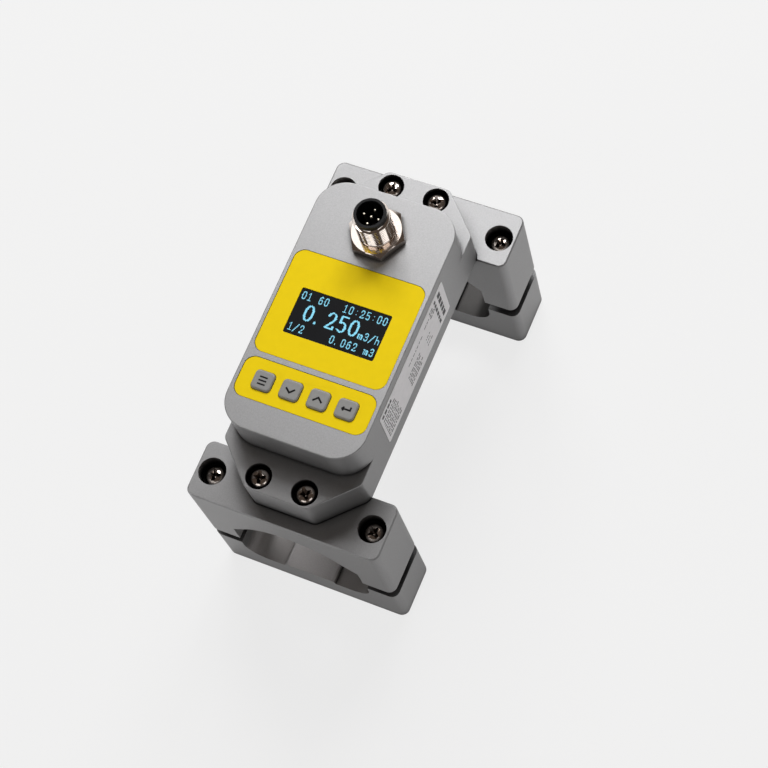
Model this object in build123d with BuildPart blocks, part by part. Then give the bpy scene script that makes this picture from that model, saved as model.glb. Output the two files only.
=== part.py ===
"""Clamp-on ultrasonic flow meter: a milled aluminium housing on two split pipe jaws.

Frame: millimetres, +Z up out of the display, +Y along the pipe towards the cable
connector, +X across towards the label side. The origin is on the surface that the two
lower jaws stand on, at the middle of the footprint.
"""
from build123d import *
import math
import os

os.makedirs("parts", exist_ok=True)

# Jaws, which grip the pipe in front of and behind the housing
jaw_width = 68.0
jaw_length = 19.6
jaw_corner = 2.8
jaw_edge = 0.45
lower_jaw_height = 21.9
jaw_gap = 5.2
arch_roof_wall = 2.1
arch_side_height = 9.3
trough_step = 0.6
trough_depth = 11.0
trough_corner = 8.0
rest_pad_width = 18.8
rest_pad_height = 2.0
rest_pad_round = 1.1
foot_pocket_depth = 1.0
foot_clearance = 0.25

# Housing, one milled block with a tongue at each end
block_height = 14.9
block_corner = 10.0
base_height = 15.7
tongue_end = 4.9
tongue_cut_wall = 1.1
tongue_corner = 3.0
housing_edge = 0.3
side_wall = 4.8
end_wall = 6.4
face_wall = 2.5
face_front_margin = 9.65
cavity_corner = 4.0
cavity_side_gap = 0.625

# Screws: M4 pan heads outside, M2.5 and M2 inside
tongue_screw_x = 8.0
screw_width = 4.0
screw_head_width = 7.0
screw_head_height = 2.6
screw_head_round = 1.3
screw_clearance = 0.2
thread_clearance = 0.08
tongue_bore_gap = 0.85
tongue_bore_depth = 3.3
tongue_screw_length = 20.0
tongue_screw_end_gap = 1.6
clamp_bore_gap = 1.15
clamp_bore_wall = 1.0
clamp_bore_depth = 5.7
clamp_screw_length = 45.0

# Sensor carrier under the housing, with its seal, screws and pipe pad
pipe_width = 34.0
carrier_side_inset = 1.5
carrier_flange_gap = 0.5
carrier_flange_height = 2.5
carrier_flange_corner = 5.0
carrier_block_width = 30.0
carrier_block_gap = 3.2
carrier_wall = 2.0
carrier_round = 3.0
coupling_pad_width = 24.0
coupling_pad_length = 66.0
coupling_pad_height = 1.5
coupling_groove = 0.6
coupling_groove_count = 5
seal_width = 1.0
seal_height = 0.9
seal_inset = 0.4
carrier_screw_width = 2.5
carrier_screw_head_width = 4.0
carrier_screw_head_height = 1.7
carrier_screw_head_round = 0.7
carrier_screw_length = 8.0
carrier_screw_x = 14.0
carrier_screw_margin = 1.8

# Transducers: a piezo disc on each slanted wedge, with its two leads
wedge_width = 16.0
wedge_length = 18.0
wedge_height = 13.5
wedge_toe = 1.5
wedge_gap = 3.0
piezo_width = 11.0
piezo_height = 1.6
lead_width = 0.9
lead_spacing = 5.0

# Face films, display and keys
film_height = 0.3
film_recess = 0.42
film_gap = 0.12
film_side_margin = 1.4
film_spacing = 2.0
upper_film_length = 36.7
lower_film_length = 13.8
film_corner = 3.6
display_offset = -1.85
display_corner = 0.6
lens_border = 1.4
lens_height = 1.2
panel_width = 34.5
panel_length = 23.0
panel_side_border = 1.65
panel_end_border = 3.45
panel_height = 1.4
panel_frame_wall = 1.6
panel_frame_gap = 0.1
key_width = 6.7
key_length = 6.5
key_corner = 1.4
key_round = 0.6
key_pitch = 9.55
key_row_offset = -0.1
key_rise = 0.7
key_clearance = 0.15
key_flange = 0.9
key_flange_height = 0.8
key_stop_gap = 0.1
key_boss_width = 2.6
key_boss_height = 1.0
key_travel = 0.4
key_names = ("menu_key", "down_key", "up_key", "enter_key")

# Main board, its posts and what is soldered to it
board_edge_gap = 1.0
board_height = 1.6
board_drop = 4.8
board_corner = 3.0
board_post_side_inset = 4.4
board_post_end_inset = 3.0
board_post_width = 4.8
board_screw_width = 2.0
board_screw_head_width = 3.8
board_screw_head_height = 1.4
board_screw_head_round = 0.6
board_screw_length = 5.0
switch_size = 5.0
switch_height = 1.5
switch_plunger_width = 2.4
chip_height = 1.1
processor_size = 10.0
timer_width = 5.0
timer_length = 6.4
converter_width = 6.5
converter_length = 7.0

# Cable connector: an M12 socket with five pins
connector_spacing = 12.25
connector_thread = 12.0
connector_hex_step = 2.35
connector_hex_height = 3.0
connector_sleeve_height = 10.6
connector_chamfer = 0.6
connector_stub_depth = 5.5
connector_hole_gap = 0.1
connector_shell_wall = 0.7
connector_insert_gap = 0.05
connector_insert_rise = 1.6
connector_insert_wall = 0.95
connector_neck_step = 0.85
connector_shoulder = 1.0
connector_cavity_depth = 9.0
connector_key_width = 1.2
connector_key_height = 0.9
connector_key_drop = 2.5
connector_nut_height = 2.4
connector_nut_step = 1.5
connector_nut_gap = 0.5
connector_seal_width = 1.1
connector_seal_height = 0.8
pin_width = 1.0
pin_circle = 5.2
pin_turn = -5.0
pin_clearance = 0.03
pin_drop = 2.3
pin_tail = 0.8

# Label on the +X side of the housing
label_length = 49.6
label_height = 19.8
label_film = 0.15
label_corner = 1.0
label_centre_y = -1.6
label_drop = 14.0

# Widths that follow from what each piece holds or goes through
tongue_bore_width = screw_head_width + 2 * tongue_bore_gap
clamp_bore_width = screw_head_width + 2 * clamp_bore_gap
jaw_side_wall = clamp_bore_width + 2 * clamp_bore_wall
clamp_screw_x = (jaw_width - jaw_side_wall) / 2
arch_radius = jaw_width / 2 - jaw_side_wall
trough_width = 2 * (arch_radius + trough_step)
key_row_width = (len(key_names) - 1) * key_pitch + key_width + 2 * key_flange
cavity_width = max(panel_width, key_row_width) + 2 * cavity_side_gap
housing_width = cavity_width + 2 * side_wall
film_width = housing_width - 2 * film_side_margin
display_width = panel_width - 2 * panel_side_border
display_length = panel_length - 2 * panel_end_border
carrier_flange_width = housing_width - 2 * carrier_side_inset
board_width = cavity_width - 2 * board_edge_gap
board_post_x = cavity_width / 2 - board_post_side_inset
connector_hex = connector_thread + 2 * connector_hex_step
connector_nut_hex = connector_thread + 2 * connector_nut_step
connector_insert_width = connector_thread - 2 * (connector_shell_wall + connector_insert_gap)
connector_neck_width = connector_insert_width - 2 * connector_neck_step
connector_cavity_width = connector_insert_width - 2 * connector_insert_wall

# Lengths: what stands on the face sets the block, and the block sets the jaws' distance
connector_margin = connector_nut_hex / 2 + connector_nut_gap + end_wall
films_length = lower_film_length + film_spacing + upper_film_length
block_length = face_front_margin + films_length + connector_spacing + connector_margin
lower_film_centre = -block_length / 2 + face_front_margin + lower_film_length / 2
upper_film_centre = lower_film_centre + films_length / 2 + film_spacing / 2
display_centre = upper_film_centre + display_offset
key_row = lower_film_centre + key_row_offset
connector_y = block_length / 2 - connector_margin
cavity_length = block_length - 2 * end_wall
board_length = cavity_length - 2 * board_edge_gap
board_post_y = cavity_length / 2 - board_post_end_inset
carrier_screw_y = cavity_length / 2 + seal_inset + seal_width + carrier_screw_margin
carrier_flange_length = 2 * (carrier_screw_y + carrier_screw_margin)
carrier_block_length = 2 * carrier_screw_y - carrier_screw_head_width - 2 * carrier_block_gap
jaw_centre = carrier_flange_length / 2 + carrier_flange_gap + jaw_length / 2
tongue_reach = jaw_centre + tongue_end
tongue_cut = (
    housing_width / 2
    + tongue_end
    - tongue_screw_x
    - math.sqrt(2) * (tongue_bore_width / 2 + tongue_cut_wall)
)

# Levels from the surface up
split_level = lower_jaw_height + jaw_gap
tongue_thread_depth = (
    tongue_screw_length + tongue_bore_depth + tongue_screw_end_gap - base_height
)
arch_roof = arch_roof_wall + tongue_thread_depth + foot_pocket_depth
upper_jaw_height = arch_radius + arch_roof
jaw_top = split_level + upper_jaw_height
housing_floor = jaw_top - foot_pocket_depth
tongue_top = housing_floor + base_height
face_level = tongue_top + block_height
cavity_roof = face_level - face_wall
film_floor = face_level - film_recess
trough_floor = lower_jaw_height - trough_depth
rest_pad_top = trough_floor + rest_pad_height
coupling_level = rest_pad_top + pipe_width
carrier_bottom = coupling_level + coupling_pad_height
carrier_flange_bottom = housing_floor - carrier_flange_height
board_top = cavity_roof - board_drop
board_bottom = board_top - board_height
key_flange_top = cavity_roof - key_stop_gap
key_flange_bottom = key_flange_top - key_flange_height
key_boss_bottom = key_flange_bottom - key_boss_height
insert_top = (
    face_level + connector_hex_height + connector_sleeve_height + connector_insert_rise
)

# Spots of the keys and the pins
key_centres = [(index - 1.5) * key_pitch for index in range(len(key_names))]
pin_spots = [(0.0, 0.0)] + [
    (pin_circle / 2 * math.cos(math.radians(turn)), pin_circle / 2 * math.sin(math.radians(turn)))
    for turn in (pin_turn, pin_turn + 90, pin_turn + 180, pin_turn + 270)
]


def save(piece, name):
    """Label a finished sub-part and write its STEP file."""
    piece.part.label = name
    export_step(piece.part, f"parts/{name}.step")


def base_outline(level, growth=0.0):
    """Plan of the housing base: a long plate whose corners are cut at 45 degrees."""
    with BuildSketch(Plane.XY.offset(level)) as outline:
        Rectangle(housing_width, 2 * tongue_reach)
        chamfer(outline.vertices(), tongue_cut)
        fillet(outline.vertices(), tongue_corner)
        if growth:
            offset(amount=growth)
    return outline.sketch


def housing_end(side):
    """One end of the housing base: from where the block's corners begin out to the tongue."""
    straight_half = block_length / 2 - block_corner
    with BuildPart() as end:
        extrude(base_outline(housing_floor), amount=base_height)
        fillet(end.edges().group_by(Axis.Z)[-1], housing_edge)
        with BuildSketch(Plane.XY.offset(housing_floor)):
            with Locations((0, side * tongue_reach)):
                Rectangle(2 * housing_width, 2 * (tongue_reach - straight_half))
        extrude(amount=base_height, mode=Mode.INTERSECT)
    return end.part


def both_ways(x, y):
    """The four spots at plus and minus x and y."""
    return [(side_x * x, side_y * y) for side_x in (-1, 1) for side_y in (-1, 1)]


def pan_screws(name, spots, seat, width, length, head_width, head_height, head_round):
    """Pan-head screws that point down from their seat level."""
    with BuildPart() as screws:
        with Locations(*[(x, y, seat) for x, y in spots]):
            Cylinder(width / 2, length, align=(Align.CENTER, Align.CENTER, Align.MAX))
            Cylinder(head_width / 2, head_height, align=(Align.CENTER, Align.CENTER, Align.MIN))
        fillet(screws.edges().group_by(Axis.Z)[-1], head_round)
        chamfer(screws.edges().group_by(Axis.Z)[0], width / 8)
    save(screws, name)


def raised_screws(name, spots, seat, width, length, head_width, head_height, head_round):
    """Pan-head screws that are driven in from below and point up from their seat level."""
    with BuildPart() as screws:
        with Locations(*[(x, y, seat) for x, y in spots]):
            Cylinder(width / 2, length, align=(Align.CENTER, Align.CENTER, Align.MIN))
            Cylinder(head_width / 2, head_height, align=(Align.CENTER, Align.CENTER, Align.MAX))
        fillet(screws.edges().group_by(Axis.Z)[0], head_round)
        chamfer(screws.edges().group_by(Axis.Z)[-1], width / 8)
    save(screws, name)


def upper_jaw(name, side):
    """Upper half of a jaw: an arched block with a pocket for the housing's tongue."""
    centre = side * jaw_centre
    with BuildPart() as jaw:
        with BuildSketch(Plane.XY.offset(split_level)):
            with Locations((0, centre)):
                RectangleRounded(jaw_width, jaw_length, jaw_corner)
        extrude(amount=upper_jaw_height)
        chamfer(jaw.edges().group_by(Axis.Z)[-1], jaw_edge)
        extrude(base_outline(jaw_top, foot_clearance), amount=-foot_pocket_depth, mode=Mode.SUBTRACT)
        with BuildSketch(Plane.XZ.offset(-centre)):
            with BuildLine():
                slope = arch_radius * (1 - math.cos(math.radians(45))) + jaw_edge
                Polyline(
                    (-arch_radius, split_level),
                    (-arch_radius, split_level + arch_side_height),
                    (-arch_radius + slope, split_level + arch_side_height + slope),
                    (arch_radius - slope, split_level + arch_side_height + slope),
                    (arch_radius, split_level + arch_side_height),
                    (arch_radius, split_level),
                    close=True,
                )
            make_face()
            with Locations((0, split_level)):
                Circle(arch_radius)
        extrude(amount=jaw_length, both=True, mode=Mode.SUBTRACT)
        with Locations((-clamp_screw_x, centre, jaw_top), (clamp_screw_x, centre, jaw_top)):
            CounterBoreHole(
                radius=(screw_width + screw_clearance) / 2,
                counter_bore_radius=clamp_bore_width / 2,
                counter_bore_depth=clamp_bore_depth,
            )
        with Locations((-tongue_screw_x, centre, housing_floor), (tongue_screw_x, centre, housing_floor)):
            Hole(screw_width / 2 + thread_clearance, depth=tongue_thread_depth)
    save(jaw, name)


def lower_jaw(name, side):
    """Lower half of a jaw: a block with a round-cornered trough and a raised pipe rest."""
    centre = side * jaw_centre
    with BuildPart() as jaw:
        with BuildSketch(Plane.XY):
            with Locations((0, centre)):
                RectangleRounded(jaw_width, jaw_length, jaw_corner)
        extrude(amount=lower_jaw_height)
        chamfer(jaw.edges().group_by(Axis.Z)[0], jaw_edge)
        with BuildSketch(Plane.XZ.offset(-centre)) as trough:
            with Locations((0, lower_jaw_height)):
                Rectangle(trough_width, 2 * trough_depth)
            fillet(trough.vertices().group_by(Axis.Y)[0], trough_corner)
            with Locations((0, trough_floor)):
                Rectangle(rest_pad_width, 2 * rest_pad_height, mode=Mode.SUBTRACT)
            pad_corners = [
                corner
                for corner in trough.vertices()
                if abs(corner.Y - rest_pad_top) < rest_pad_height / 4
            ]
            fillet(pad_corners, rest_pad_round)
        extrude(amount=jaw_length, both=True, mode=Mode.SUBTRACT)
        with Locations(
            (-clamp_screw_x, centre, lower_jaw_height), (clamp_screw_x, centre, lower_jaw_height)
        ):
            Hole(screw_width / 2 + thread_clearance)
    save(jaw, name)


def transducer(prefix, side):
    """A wedge on the carrier's floor, the piezo disc on its slope and the disc's leads."""
    floor_level = carrier_bottom + carrier_wall
    reach = carrier_block_length / 2 - carrier_wall - wedge_gap
    inner = side * (reach - wedge_length)
    outer = side * reach
    with BuildPart() as wedge:
        with BuildSketch(Plane.YZ):
            with BuildLine():
                Polyline(
                    (inner, floor_level),
                    (outer, floor_level),
                    (outer, floor_level + wedge_toe),
                    (inner, floor_level + wedge_height),
                    close=True,
                )
            make_face()
        extrude(amount=wedge_width / 2, both=True)
    save(wedge, f"{prefix}_wedge")

    middle = Vector(0, (inner + outer) / 2, floor_level + (wedge_toe + wedge_height) / 2)
    slope_normal = Vector(0, side * (wedge_height - wedge_toe), wedge_length)
    slope = Plane(origin=middle, x_dir=(1, 0, 0), z_dir=slope_normal)
    with BuildPart() as disc:
        with BuildSketch(slope):
            Circle(piezo_width / 2)
        extrude(amount=piezo_height)
    save(disc, f"{prefix}_piezo")

    lead_foot = middle.Z + piezo_height
    with BuildPart() as leads:
        with BuildSketch(Plane.XY.offset(lead_foot - piezo_height)):
            with Locations((-lead_spacing / 2, middle.Y), (lead_spacing / 2, middle.Y)):
                Circle(lead_width / 2)
        extrude(amount=board_bottom - lead_foot + piezo_height)
        split(bisect_by=slope.offset(piezo_height), keep=Keep.TOP)
    save(leads, f"{prefix}_leads")


# Housing: block with a tongue at each end, electronics cavity and face openings
with BuildPart() as housing:
    with BuildSketch(Plane.XY.offset(housing_floor)):
        RectangleRounded(housing_width, block_length, block_corner)
    extrude(amount=base_height + block_height)
    fillet(housing.edges().group_by(Axis.Z)[-1], housing_edge)
    add(housing_end(-1))
    add(housing_end(1))
    with BuildSketch(Plane.XY.offset(housing_floor)):
        RectangleRounded(cavity_width, cavity_length, cavity_corner)
    extrude(amount=cavity_roof - housing_floor, mode=Mode.SUBTRACT)
    # Posts that carry the main board, rooted in the face wall
    with BuildSketch(Plane.XY.offset(board_top)):
        with Locations(*both_ways(board_post_x, board_post_y)):
            Circle(board_post_width / 2)
    extrude(amount=board_drop + face_wall / 2)
    with BuildSketch(Plane.XY.offset(board_top)):
        with Locations(*both_ways(board_post_x, board_post_y)):
            Circle(board_screw_width / 2 + thread_clearance)
    extrude(amount=board_screw_length, mode=Mode.SUBTRACT)
    # Recesses for the two films
    with BuildSketch(Plane.XY.offset(face_level)):
        with Locations((0, upper_film_centre)):
            RectangleRounded(
                film_width + 2 * film_gap, upper_film_length + 2 * film_gap, film_corner
            )
        with Locations((0, lower_film_centre)):
            RectangleRounded(
                film_width + 2 * film_gap, lower_film_length + 2 * film_gap, film_corner
            )
    extrude(amount=-film_recess, mode=Mode.SUBTRACT)
    # Pocket for the lens, with the display opening through its floor
    with BuildSketch(Plane.XY.offset(film_floor)):
        with Locations((0, display_centre)):
            RectangleRounded(
                display_width + 2 * (lens_border + film_gap),
                display_length + 2 * (lens_border + film_gap),
                display_corner + lens_border,
            )
    extrude(amount=-lens_height, mode=Mode.SUBTRACT)
    with BuildSketch(Plane.XY.offset(cavity_roof)):
        with Locations((0, display_centre)):
            RectangleRounded(display_width, display_length, display_corner)
        with Locations(*[(x, key_row) for x in key_centres]):
            RectangleRounded(
                key_width + 2 * key_clearance,
                key_length + 2 * key_clearance,
                key_corner + key_clearance,
            )
        with Locations((0, connector_y)):
            Circle(connector_thread / 2 + connector_hole_gap)
    extrude(amount=face_wall, mode=Mode.SUBTRACT)
    # Seat of the connector's seal ring
    with BuildSketch(Plane.XY.offset(face_level)):
        with Locations((0, connector_y)):
            Circle(connector_thread / 2 + 2 * connector_hole_gap + connector_seal_width)
    extrude(amount=-connector_seal_height, mode=Mode.SUBTRACT)
    with Locations(*[(x, y, tongue_top) for x, y in both_ways(tongue_screw_x, jaw_centre)]):
        CounterBoreHole(
            radius=(screw_width + screw_clearance) / 2,
            counter_bore_radius=tongue_bore_width / 2,
            counter_bore_depth=tongue_bore_depth,
        )
    # Blind threads for the sensor carrier's screws
    with BuildSketch(Plane.XY.offset(housing_floor)):
        with Locations(*both_ways(carrier_screw_x, carrier_screw_y)):
            Circle(carrier_screw_width / 2 + thread_clearance)
    extrude(amount=carrier_screw_length, mode=Mode.SUBTRACT)
save(housing, "housing")

for end_name, end_side in (("front", -1), ("rear", 1)):
    upper_jaw(f"{end_name}_upper_jaw", end_side)
    lower_jaw(f"{end_name}_lower_jaw", end_side)

pan_screws(
    "tongue_screws",
    both_ways(tongue_screw_x, jaw_centre),
    tongue_top - tongue_bore_depth,
    screw_width,
    tongue_screw_length,
    screw_head_width,
    screw_head_height,
    screw_head_round,
)
pan_screws(
    "clamp_screws",
    both_ways(clamp_screw_x, jaw_centre),
    jaw_top - clamp_bore_depth,
    screw_width,
    clamp_screw_length,
    screw_head_width,
    screw_head_height,
    screw_head_round,
)

# Sensor carrier: a flange that closes the housing and a thin-floored box for the transducers
with BuildPart() as carrier:
    with BuildSketch(Plane.XY.offset(carrier_flange_bottom)):
        RectangleRounded(carrier_flange_width, carrier_flange_length, carrier_flange_corner)
    extrude(amount=carrier_flange_height)
    with BuildSketch(Plane.XY.offset(carrier_bottom)):
        RectangleRounded(carrier_block_width, carrier_block_length, carrier_round)
    extrude(amount=carrier_flange_bottom - carrier_bottom)
    with BuildSketch(Plane.XY.offset(carrier_bottom + carrier_wall)):
        RectangleRounded(
            carrier_block_width - 2 * carrier_wall,
            carrier_block_length - 2 * carrier_wall,
            carrier_round / 2,
        )
    extrude(amount=housing_floor - carrier_bottom, mode=Mode.SUBTRACT)
    with BuildSketch(Plane.XY.offset(housing_floor)):
        RectangleRounded(
            cavity_width + 2 * (seal_inset + seal_width),
            cavity_length + 2 * (seal_inset + seal_width),
            cavity_corner + seal_inset + seal_width,
        )
        RectangleRounded(
            cavity_width + 2 * seal_inset,
            cavity_length + 2 * seal_inset,
            cavity_corner + seal_inset,
            mode=Mode.SUBTRACT,
        )
    extrude(amount=-seal_height, mode=Mode.SUBTRACT)
    with BuildSketch(Plane.XY.offset(carrier_flange_bottom)):
        with Locations(*both_ways(carrier_screw_x, carrier_screw_y)):
            Circle((carrier_screw_width + screw_clearance) / 2)
    extrude(amount=carrier_flange_height, mode=Mode.SUBTRACT)
save(carrier, "sensor_carrier")

with BuildPart() as carrier_seal:
    with BuildSketch(Plane.XY.offset(housing_floor - seal_height)):
        RectangleRounded(
            cavity_width + 2 * (seal_inset + seal_width),
            cavity_length + 2 * (seal_inset + seal_width),
            cavity_corner + seal_inset + seal_width,
        )
        RectangleRounded(
            cavity_width + 2 * seal_inset,
            cavity_length + 2 * seal_inset,
            cavity_corner + seal_inset,
            mode=Mode.SUBTRACT,
        )
    extrude(amount=seal_height)
save(carrier_seal, "carrier_seal")

raised_screws(
    "carrier_screws",
    both_ways(carrier_screw_x, carrier_screw_y),
    carrier_flange_bottom,
    carrier_screw_width,
    carrier_screw_length,
    carrier_screw_head_width,
    carrier_screw_head_height,
    carrier_screw_head_round,
)

# Coupling pad: the rubber face that meets the pipe, with shallow grooves across it
with BuildPart() as coupling_pad:
    with BuildSketch(Plane.XY.offset(coupling_level)):
        RectangleRounded(coupling_pad_width, coupling_pad_length, carrier_round)
    extrude(amount=coupling_pad_height)
    with BuildSketch(Plane.XY.offset(coupling_level)):
        with GridLocations(0, coupling_pad_length / coupling_groove_count, 1, coupling_groove_count):
            Rectangle(coupling_pad_width, coupling_groove)
    extrude(amount=coupling_groove, mode=Mode.SUBTRACT)
save(coupling_pad, "coupling_pad")

transducer("upstream", -1)
transducer("downstream", 1)

# Face films, each in its recess
with BuildPart() as upper_film:
    with BuildSketch(Plane.XY.offset(film_floor)):
        with Locations((0, upper_film_centre)):
            RectangleRounded(film_width, upper_film_length, film_corner)
        with Locations((0, display_centre)):
            RectangleRounded(display_width, display_length, display_corner, mode=Mode.SUBTRACT)
    extrude(amount=film_height)
save(upper_film, "display_film")

with BuildPart() as lower_film:
    with BuildSketch(Plane.XY.offset(film_floor)):
        with Locations((0, lower_film_centre)):
            RectangleRounded(film_width, lower_film_length, film_corner)
        with Locations(*[(x, key_row) for x in key_centres]):
            RectangleRounded(
                key_width + 2 * key_clearance,
                key_length + 2 * key_clearance,
                key_corner + key_clearance,
                mode=Mode.SUBTRACT,
            )
    extrude(amount=film_height)
save(lower_film, "key_film")

with BuildPart() as lens:
    with BuildSketch(Plane.XY.offset(film_floor - lens_height)):
        with Locations((0, display_centre)):
            RectangleRounded(
                display_width + 2 * lens_border,
                display_length + 2 * lens_border,
                display_corner + lens_border,
            )
    extrude(amount=lens_height)
save(lens, "display_lens")

with BuildPart() as panel:
    with BuildSketch(Plane.XY.offset(cavity_roof - panel_height)):
        with Locations((0, display_centre)):
            Rectangle(panel_width, panel_length)
    extrude(amount=panel_height)
save(panel, "display_panel")

with BuildPart() as panel_frame:
    with BuildSketch(Plane.XY.offset(board_top)):
        with Locations((0, display_centre)):
            Rectangle(panel_width - 2 * panel_frame_gap, panel_length)
            Rectangle(
                panel_width - 2 * panel_frame_wall,
                panel_length - 2 * panel_frame_wall,
                mode=Mode.SUBTRACT,
            )
    extrude(amount=board_drop - panel_height)
save(panel_frame, "panel_frame")

for key_name, key_x in zip(key_names, key_centres):
    with BuildPart() as key:
        with BuildSketch(Plane.XY.offset(key_flange_top)):
            with Locations((key_x, key_row)):
                RectangleRounded(key_width, key_length, key_corner)
        extrude(amount=face_level + key_rise - key_flange_top)
        fillet(key.edges().group_by(Axis.Z)[-1], key_round)
        with BuildSketch(Plane.XY.offset(key_flange_bottom)):
            with Locations((key_x, key_row)):
                RectangleRounded(key_width + 2 * key_flange, key_length + 2 * key_flange, key_corner)
        extrude(amount=key_flange_height)
        with BuildSketch(Plane.XY.offset(key_boss_bottom)):
            with Locations((key_x, key_row)):
                Circle(key_boss_width / 2)
        extrude(amount=key_boss_height)
    save(key, key_name)

# Main board with holes for its screws and the connector's pins
with BuildPart() as board:
    with BuildSketch(Plane.XY.offset(board_bottom)):
        RectangleRounded(board_width, board_length, board_corner)
        with Locations(*both_ways(board_post_x, board_post_y)):
            Circle((board_screw_width + screw_clearance) / 2, mode=Mode.SUBTRACT)
        with Locations(*[(x, connector_y + y) for x, y in pin_spots]):
            Circle(pin_width / 2 + pin_clearance, mode=Mode.SUBTRACT)
    extrude(amount=board_height)
save(board, "main_board")

raised_screws(
    "board_screws",
    both_ways(board_post_x, board_post_y),
    board_bottom,
    board_screw_width,
    board_screw_length,
    board_screw_head_width,
    board_screw_head_height,
    board_screw_head_round,
)

with BuildPart() as switches:
    with BuildSketch(Plane.XY.offset(board_top)):
        with Locations(*[(x, key_row) for x in key_centres]):
            Rectangle(switch_size, switch_size)
    extrude(amount=switch_height)
    with BuildSketch(Plane.XY.offset(board_top + switch_height)):
        with Locations(*[(x, key_row) for x in key_centres]):
            Circle(switch_plunger_width / 2)
    extrude(amount=key_boss_bottom - key_travel - key_stop_gap - board_top - switch_height)
save(switches, "key_switches")

# Chips on the underside of the board: processor, timing circuit and power converter
with BuildPart() as chips:
    with BuildSketch(Plane.XY.offset(board_bottom - chip_height)):
        with Locations((0, 0)):
            Rectangle(processor_size, processor_size)
        with Locations((-board_width / 4, -board_length / 4)):
            Rectangle(timer_width, timer_length)
        with Locations((board_width / 4, board_length / 6)):
            Rectangle(converter_width, converter_length)
    extrude(amount=chip_height)
save(chips, "board_chips")

# Connector shell: hexagon on the face, threaded sleeve above it and a stub through the wall
with BuildPart() as shell:
    with BuildSketch(Plane.XY.offset(face_level)):
        with Locations((0, connector_y)):
            RegularPolygon(connector_hex / 2, 6, major_radius=False)
    extrude(amount=connector_hex_height)
    with BuildSketch(Plane.XZ.offset(-connector_y)):
        with BuildLine():
            Polyline(
                (0, face_level),
                (connector_hex, face_level),
                (connector_hex / 2, face_level + connector_hex_height),
                (0, face_level + connector_hex_height),
                close=True,
            )
        make_face()
    revolve(axis=Axis((0, connector_y, 0), (0, 0, 1)), mode=Mode.INTERSECT)
    with BuildSketch(Plane.XY.offset(face_level + connector_hex_height)):
        with Locations((0, connector_y)):
            Circle(connector_thread / 2)
    extrude(amount=connector_sleeve_height)
    chamfer(shell.edges().group_by(Axis.Z)[-1], connector_chamfer)
    with BuildSketch(Plane.XY.offset(face_level)):
        with Locations((0, connector_y)):
            Circle(connector_thread / 2)
    extrude(amount=-connector_stub_depth)
    with BuildSketch(Plane.XY.offset(face_level + connector_shoulder)):
        with Locations((0, connector_y)):
            Circle(connector_insert_width / 2 + connector_insert_gap)
    extrude(amount=connector_hex_height + connector_sleeve_height, mode=Mode.SUBTRACT)
    with BuildSketch(Plane.XY.offset(face_level - connector_stub_depth)):
        with Locations((0, connector_y)):
            Circle(connector_neck_width / 2 + connector_insert_gap)
    extrude(amount=connector_stub_depth + connector_shoulder, mode=Mode.SUBTRACT)
save(shell, "connector_shell")

# Connector insert: a moulded cup with a coding key, open to the mating plug
with BuildPart() as insert:
    with BuildSketch(Plane.XY.offset(face_level - connector_stub_depth)):
        with Locations((0, connector_y)):
            Circle(connector_neck_width / 2)
    extrude(amount=connector_stub_depth + connector_shoulder)
    with BuildSketch(Plane.XY.offset(face_level + connector_shoulder)):
        with Locations((0, connector_y)):
            Circle(connector_insert_width / 2)
    extrude(amount=insert_top - face_level - connector_shoulder)
    with BuildSketch(Plane.XY.offset(insert_top)):
        with Locations((0, connector_y)):
            Circle(connector_cavity_width / 2)
        with Locations((0, connector_y + connector_cavity_width / 2)):
            Rectangle(connector_key_width, 2 * connector_key_height, mode=Mode.SUBTRACT)
    extrude(amount=-connector_cavity_depth, mode=Mode.SUBTRACT)
    # The coding key starts below the rim
    with BuildSketch(Plane.XY.offset(insert_top)):
        with Locations((0, connector_y)):
            Circle(connector_cavity_width / 2)
    extrude(amount=-connector_key_drop, mode=Mode.SUBTRACT)
    with BuildSketch(Plane.XY.offset(face_level - connector_stub_depth)):
        with Locations(*[(x, connector_y + y) for x, y in pin_spots]):
            Circle(pin_width / 2 + pin_clearance)
    extrude(amount=connector_stub_depth + insert_top - face_level, mode=Mode.SUBTRACT)
save(insert, "connector_insert")

with BuildPart() as pins:
    with BuildSketch(Plane.XY.offset(board_bottom - pin_tail)):
        with Locations(*[(x, connector_y + y) for x, y in pin_spots]):
            Circle(pin_width / 2)
    extrude(amount=insert_top - pin_drop - board_bottom + pin_tail)
    fillet(pins.edges().group_by(Axis.Z)[-1], pin_width / 3)
save(pins, "connector_pins")

with BuildPart() as nut:
    with BuildSketch(Plane.XY.offset(cavity_roof - connector_nut_height)):
        with Locations((0, connector_y)):
            RegularPolygon(connector_nut_hex / 2, 6, major_radius=False)
            Circle(connector_thread / 2 + thread_clearance, mode=Mode.SUBTRACT)
    extrude(amount=connector_nut_height)
save(nut, "connector_nut")

with BuildPart() as connector_seal:
    with BuildSketch(Plane.XY.offset(face_level - connector_seal_height)):
        with Locations((0, connector_y)):
            Circle(connector_thread / 2 + connector_hole_gap + connector_seal_width)
            Circle(connector_thread / 2 + connector_hole_gap, mode=Mode.SUBTRACT)
    extrude(amount=connector_seal_height)
save(connector_seal, "connector_seal")

with BuildPart() as label:
    with BuildSketch(Plane.YZ.offset(housing_width / 2)):
        with Locations((label_centre_y, face_level - label_drop)):
            RectangleRounded(label_length, label_height, label_corner)
    extrude(amount=label_film)
save(label, "side_label")
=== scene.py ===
"""Looks of the clamp-on ultrasonic flow meter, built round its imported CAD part.

Row frame, metres: +Z up out of the display, +Y towards the cable connector, +X towards the
label side. Sizes of shapes are written in millimetres and become metres through MM. Those of
the floor, the lamps and the camera are in metres.
"""

import bmesh
import bpy
import math
import random
from mathutils import Matrix, Vector

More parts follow.
